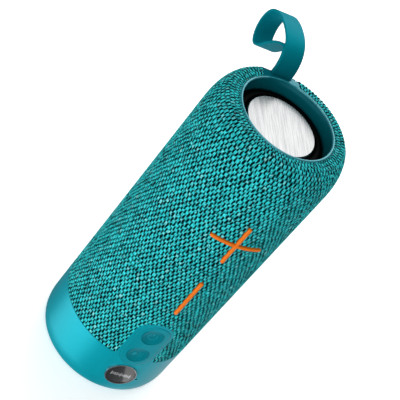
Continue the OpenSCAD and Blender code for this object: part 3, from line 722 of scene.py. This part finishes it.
def knit():
    """The sleeve: one sheet of loops with its openings, whose edges are folded in."""
    line = sleeve_line()
    end = line[0][-1]
    rows, turns = int(round(end / LOOP_H * ALONG)), LOOPS * ACROSS
    u = np.tile(np.arange(turns) / ACROSS, (rows + 1, 1))
    s = np.tile((np.linspace(0, end, rows + 1))[:, None], (1, turns))
    # Only the faces whose middle is on the cloth are kept
    kept = outside_holes(u[:-1] + 0.5 / ACROSS, (s[:-1] + s[1:]) / 2, line) > 0
    u, s = pull_to_edge(u, s, cut_edge(kept), line)
    v = s / LOOP_H + 0.5 / ALONG
    row, col = np.nonzero(kept)
    after = (col + 1) % turns
    corner = np.stack([row * turns + col, row * turns + after,
                       (row + 1) * turns + after, (row + 1) * turns + col], -1)
    lap = (after == 0) * LOOPS
    corner_u = u.ravel()[corner] + np.stack([0 * lap, lap, lap, 0 * lap], -1)
    corner_v = v.ravel()[corner]
    # An edge that only one face has is an edge of the cloth: it gets a fold under the face
    sides = [[k, (k + 1) % 4] for k in range(4)]
    pairs, pair_u, pair_v = (np.concatenate([values[:, side] for side in sides])
                             for values in (corner, corner_u, corner_v))
    key = np.sort(pairs, axis=1) @ np.array([u.size, 1])
    _, first, uses = np.unique(key, return_index=True, return_counts=True)
    rim = first[uses == 1]
    rim_points = np.unique(pairs[rim])
    under = np.full(u.size, -1)
    under[rim_points] = np.arange(len(rim_points)) + u.size
    fold = np.stack([pairs[rim][:, 1], pairs[rim][:, 0], under[pairs[rim][:, 0]],
                     under[pairs[rim][:, 1]]], -1)
    faces = np.concatenate([corner, fold])
    fold_uv = [1, 0, 0, 1]
    uv = np.stack([np.concatenate([corner_u, pair_u[rim][:, fold_uv]]),
                   np.concatenate([corner_v, pair_v[rim][:, fold_uv]])], -1)
    points = np.concatenate([sleeve_points(u, s, RELIEF * loop_depth(u, v), line),
                             sleeve_points(u, s, TUCK, line)[rim_points]])
    tucked = np.arange(len(points)) >= u.size
    used = np.unique(faces)
    renumber = np.full(len(points), -1)
    renumber[used] = np.arange(len(used))
    ob = put("knit_sleeve", points[used], renumber[faces].tolist(), "fabric_teal", "casing",
             ["fabric_sleeve"])
    layer = ob.data.uv_layers.new(name="loops")
    layer.data.foreach_set("uv", uv.ravel().astype(np.float32))
    tuck = ob.data.attributes.new("tuck", "FLOAT", "POINT")
    tuck.data.foreach_set("value", tucked[used].astype(np.float32))
    return ob


sleeve = knit()

# ---------------------------------------------------------------- strap


def bezier(points, count):
    p = np.array(points, float)
    t = np.linspace(0, 1, count + 1)[:, None]
    return ((1 - t) ** 3 * p[0] + 3 * t * (1 - t) ** 2 * p[1]
            + 3 * t * t * (1 - t) * p[2] + t ** 3 * p[3])


def path(segments):
    """Points along a chain of straight lines and cubic curves, as (y, z)."""
    parts = []
    for segment in segments:
        if len(segment) == 2:
            a, b = np.array(segment, float)
            points = a + (b - a) * np.linspace(0, 1, 9)[:, None]
        else:
            points = bezier(segment, 16)
        parts.append(points if not parts else points[1:])
    return np.concatenate(parts)


def strap_layer(segments):
    """A band of rounded section that follows a path in the YZ plane."""
    line = path(segments)
    section = rounded(STRAP_W / 2, STRAP_T / 2, 0.42, 4)
    slope = np.gradient(line, axis=0)
    slope /= np.linalg.norm(slope, axis=1)[:, None]
    points = []
    for (y, z), (dy, dz) in zip(line, slope):
        points += [(a, y - b * dz, z + b * dy) for a, b in section]
    return points, tube_faces(len(line), len(section))


# The same lines as the CAD loop's: up out of the slot, over the top and back to the seat
STRAP_OUTER = [
    [(28.0, 171.6), (28.0, 180.2)],
    [(28.0, 180.2), (28.2, 185.5), (31.5, 192.9), (42.0, 192.9)],
    [(42.0, 192.9), (52.0, 192.9), (67.6, 189.0), (67.6, 177.5)],
    [(67.6, 177.5), (67.6, 171.5), (63.6, 167.6), (60.3, 167.6)],
    [(60.3, 167.6), (53.5, 167.6), (48.5, 183.5), (36.0, 189.2)],
]
STRAP_INNER = [
    [(29.2, 171.6), (29.2, 180.2)],
    [(29.2, 180.2), (29.5, 184.6), (31.4, 188.6), (36.0, 190.0)],
]
points, faces = together([strap_layer(STRAP_OUTER), strap_layer(STRAP_INNER)])
strap = put("strap_band", points, faces, "strap_teal", None, ["strap_loop", "strap_tail"])
28.6 * MM
178.6 * MM
30.35 * MM
181.63 * MM
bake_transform(strap)

# The front light is flagged off the strap, which rises into the light from the rear
flagged = bpy.data.collections.new("flagged")
flagged.objects.link(strap)
front_fill.light_linking.receiver_collection = flagged
flagged.collection_objects[0].light_linking.link_state = "EXCLUDE"

# ---------------------------------------------------------------- rolls and spiders


def radial_blend(ob, moving, direction, middle, r_fixed, r_moving):
    """Bakes the piece in place and works out a share by the distance from an axis: 0 outside r_fixed, 1
    inside r_moving; nothing uses it.
    """
    d, m = Vector(direction), Vector(middle) * MM
    m + d * MM
    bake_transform(ob)
    points = np.array([v.co for v in ob.data.vertices]) - np.array(m)
    along = np.outer(points @ np.array(d), np.array(d))
    radius = np.linalg.norm(points - along, axis=1) / MM
    share = eased(np.clip((r_fixed - radius) / (r_fixed - r_moving), 0, 1))
    share.astype(np.float32)


def roll_profile(r_in, r_out, base, mid, roll, wall, drop=0.0):
    """A half-roll between two flat lands: its upper face, then its lower face back. The inner
    land lies lower by drop."""
    upper, lower = [(r_out, base + wall), (mid + roll + wall + 0.5, base + wall)], [(r_out, base)]
    for a in np.linspace(0, math.pi, 15):
        c, s = math.cos(a), math.sin(a)
        upper.append((mid + (roll + wall) * c, base + wall / 2 + (roll + wall / 2) * s))
        lower.append((mid + roll * c, base + roll * s))
    upper += [(mid - roll - wall - 0.3, base + wall - drop), (r_in, base + wall - drop)]
    lower.append((r_in, base - drop))
    return upper + lower[::-1]


def spider_profile(r_in, r_out, height, waves=3, swell=0.2, thick=0.25):
    """A thin disc with waves round it."""
    line = [(r_in + (r_out - r_in) * t, height + swell * math.sin(2 * math.pi * waves * t))
            for t in np.linspace(0, 1, 31)]
    return [(r, h + thick / 2) for r, h in line] + [(r, h - thick / 2) for r, h in reversed(line)]


def radiator_roll():
    """The rubber roll that carries the silver disc in the mouth."""
    profile = roll_profile(r_in=16.9, r_out=23.65, base=170.2, mid=21.0, roll=1.9, wall=0.6)
    points, faces = turned(profile, 160)
    ob = put("radiator_roll", points, faces, "surround_black", None, ["radiator_surround"])
    radial_blend(ob, "radiator", (0, 0, 1), (0, 0, 170), 23.2, 18.6)


def driver_soft_parts(side, sign):
    """One driver's roll and spider, turned about the driver's own axis, which is X."""
    driver_z = 112.0
    body = side + "_driver"

    def outward(r, a, h):
        return (sign * h, r * math.cos(a) * sign, driver_z + r * math.sin(a))

    profile = roll_profile(r_in=14.5, r_out=19.6, base=23.2, mid=16.4, roll=0.8, wall=0.5, drop=0.2)
    points, faces = turned(profile, 96, outward)
    roll = put(side + "_roll", points, faces, "surround_black", None, [side + "_surround"])
    radial_blend(roll, body, (1, 0, 0), (0, 0, driver_z), 17.4, 15.2)
    points, faces = turned(spider_profile(7.4, 11.15, 14.83), 96, outward)
    spider = put(side + "_spider_waves", points, faces, "spider_cloth", None, [side + "_spider"])
    radial_blend(spider, body, (1, 0, 0), (0, 0, driver_z), 11.0, 7.8)


radiator_roll()
driver_soft_parts("left", -1)
driver_soft_parts("right", 1)

# ---------------------------------------------------------------- volume keys

# The backing strip behind the sleeve, and where the stem behind it ends
BACK_R, BACK_T, BACK_HALF = 32.6, 1.1, 3.0
STEM_Y = -29.85
# A bar's corners have this many steps; its long edges have more, so that they can bend
BAR_CORNER, BAR_LONG = 4, 26


def dense(outline):
    """A bar's outline, with its two long edges divided."""
    out = []
    for k, p in enumerate(outline):
        q = outline[(k + 1) % len(outline)]
        parts = BAR_LONG if k % (len(outline) // 2) == BAR_CORNER else 1
        out += [(p[0] + (q[0] - p[0]) * i / parts, p[1] + (q[1] - p[1]) * i / parts)
                for i in range(parts)]
    return out


def key_bar(half_long, place, fillet=0.5, low=33.4):
    """A bar with a rounded rim. Its outline is (along, across), which place() sets on the tube."""
    half_wide = KEY_W / 2
    rings = [(0.0, low), (0.0, KEY_TOP - fillet)]
    for a in np.radians(np.linspace(18, 90, 5)):
        rings.append((fillet * (1 - math.cos(a)), KEY_TOP - fillet * (1 - math.sin(a))))
    rings.append((half_wide * 0.85, KEY_TOP + 0.02))
    points = []
    for inset, radius in rings:
        wide = max(half_wide - inset, 0.08)
        corner = max(min(0.62 - inset * 0.6, wide - 0.01), 0.05)
        outline = dense(rounded(half_long - inset, wide, corner, BAR_CORNER))
        points += [place(p, q, radius) for p, q in outline]
    return points, tube_faces(len(rings), len(outline))


def upright(z0):
    """Sets a bar upright on the front of the tube."""
    return lambda p, q, r: (-q, -math.sqrt(r * r - q * q), z0 + p)


def across(z0):
    """Wraps a bar round the front of the tube."""
    return lambda p, q, r: (r * math.sin(p / KEY_TOP), -r * math.cos(p / KEY_TOP), z0 + q)


def backing(z0, half_z, half_a):
    """A key's curved backing strip."""
    steps = 12
    low = BACK_R - BACK_T
    points = []
    for a in np.linspace(-half_a, half_a, steps + 1):
        for r, z in ((low, -half_z), (BACK_R, -half_z), (BACK_R, half_z), (low, half_z)):
            points.append((r * math.sin(a), -r * math.cos(a), z0 + z))
    return points, tube_faces(steps + 1, 4)


def stem(z0):
    """The peg behind a key that meets its contact."""
    r, count = 2.0, 24
    angles = [2 * math.pi * i / count for i in range(count)]
    points = [(r * math.cos(a), y, z0 + r * math.sin(a)) for y in (0.4 - BACK_R, STEM_Y) for a in angles]
    return points, tube_faces(2, count)


def volume_key(name, z0, cross):
    """The minus key, or with cross the plus key."""
    parts = [key_bar(KEY_HALF, upright(z0)),
             backing(z0, KEY_HALF + 1.5, math.asin(BACK_HALF / BACK_R)),
             stem(z0)]
    if cross:
        parts += [key_bar(KEY_TOP * CROSS_A, across(z0)),
                  backing(z0, BACK_HALF, CROSS_A + math.radians(2))]
    points, faces = together(parts)
    split_edges(put(name + "_bars", points, faces, "key_orange", name, [name + "_key"]), 50)


volume_key("plus", PLUS_Z, True)
volume_key("minus", MINUS_Z, False)

# ---------------------------------------------------------------- symbols on the two buttons

# The ball that dishes a button's face, and the dish's depth at its middle
DISH_R, DISH_DEPTH = 20.0, 1.0


def dish_y(x, dz):
    """Where the face of a button lies in Y, at a place on it."""
    ball = -BODY_R - DISH_R + DISH_DEPTH + math.sqrt(DISH_R ** 2 - x * x - dz * dz)
    return max(ball, -math.sqrt(BODY_R ** 2 - x * x))


def raised(outlines, z0, proud=0.14, sunk=0.2):
    """Flat raised marks on a button, each from an outline of (x, z) about its middle."""
    parts = []
    for outline in outlines:
        front = [(x, dish_y(x, z) - proud, z0 + z) for x, z in outline]
        rear = [(x, dish_y(x, z) + sunk, z0 + z) for x, z in outline]
        n = len(outline)
        faces = [(i, (i + 1) % n, n + (i + 1) % n, n + i) for i in range(n)]
        faces.append(tuple(reversed(range(n))))
        faces.append(tuple(range(n, 2 * n)))
        parts.append((front + rear, faces))
    return together(parts)


def arc_band(r, width, start, end, pieces=32):
    """Short pieces of a ring, each convex, so that they lie well on the dish."""
    angles = np.radians(np.linspace(start, end, pieces + 1))
    half = width / 2
    return [[((r + d) * math.sin(t), (r + d) * math.cos(t))
             for d, t in ((half, a), (half, b), (-half, b), (-half, a))]
            for a, b in zip(angles[:-1], angles[1:])]


def bar(x0, x1, z0, z1):
    return [(x0, z0), (x0, z1), (x1, z1), (x1, z0)]


power_marks = arc_band(2.3, 0.6, 38, 322) + [bar(-0.3, 0.3, 0.9, 3.0)]
play_marks = [[(-2.6, -1.8), (-2.6, 1.8), (0.3, 0.0)],
              bar(0.8, 1.4, -1.8, 1.8), bar(2.0, 2.6, -1.8, 1.8)]
for name, marks, z0 in (("power", power_marks, POWER_Z), ("play", play_marks, PLAY_Z)):
    points, faces = raised(marks, z0)
    put(name + "_mark", points, faces, "button_teal", name, smooth=False, paint="icon")

# ---------------------------------------------------------------- foot pad


def foot():
    """The rubber foot: a turned pad with round ribs on its underside."""
    pad_r, pad_t, border = 31.0, 1.6, 2.5
    hub_r, hub_recess = 9.0, 0.3
    ribs, groove, slope = 7, 0.45, 0.25
    width = (pad_r - border - hub_r) / ribs
    profile = [(0.02, pad_t), (pad_r, pad_t), (pad_r, 0.5), (pad_r - 0.15, 0.15), (pad_r - 0.5, 0.0)]
    for k in range(ribs):
        r = pad_r - border - k * width
        low_r = r - width * 0.42
        profile += [(r, 0.0), (r - slope, groove), (low_r, groove), (low_r - slope, 0.0)]
    profile += [(hub_r - 1, 0.0), (hub_r - 1.3, hub_recess), (0.02, hub_recess)]
    points, faces = turned(profile)
    split_edges(put("foot_pad", points, faces, "pad_rubber", "casing", ["base_pad"]), 40)


foot()

# ---------------------------------------------------------------- floor


def floor():
    """A plain pale floor."""
    s = Shader("floor_white", roughness=0.7, emission_color=(1.0, 1.0, 1.0), emission_strength=0.55)
    s.set(base_color=s.mix(s.noise(s.coords(), 0.004, 2.0), (0.90, 0.90, 0.90), (0.92, 0.92, 0.92)))
    half = 4.0
    mesh = bpy.data.meshes.new("floor")
    mesh.from_pydata([(-half, -half, 0), (half, -half, 0), (half, half, 0), (-half, half, 0)], [],
                     [(0, 1, 2, 3)])
    mesh.materials.append(s.material)
    ob = bpy.data.objects.new("floor", mesh)
    scene.collection.objects.link(ob)
    ob.visible_shadow = ob.visible_glossy = ob.visible_diffuse = False
    ob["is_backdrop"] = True


floor()

{"cad": [list(v) for v in cad_box], "visual": [list(v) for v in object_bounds()]}
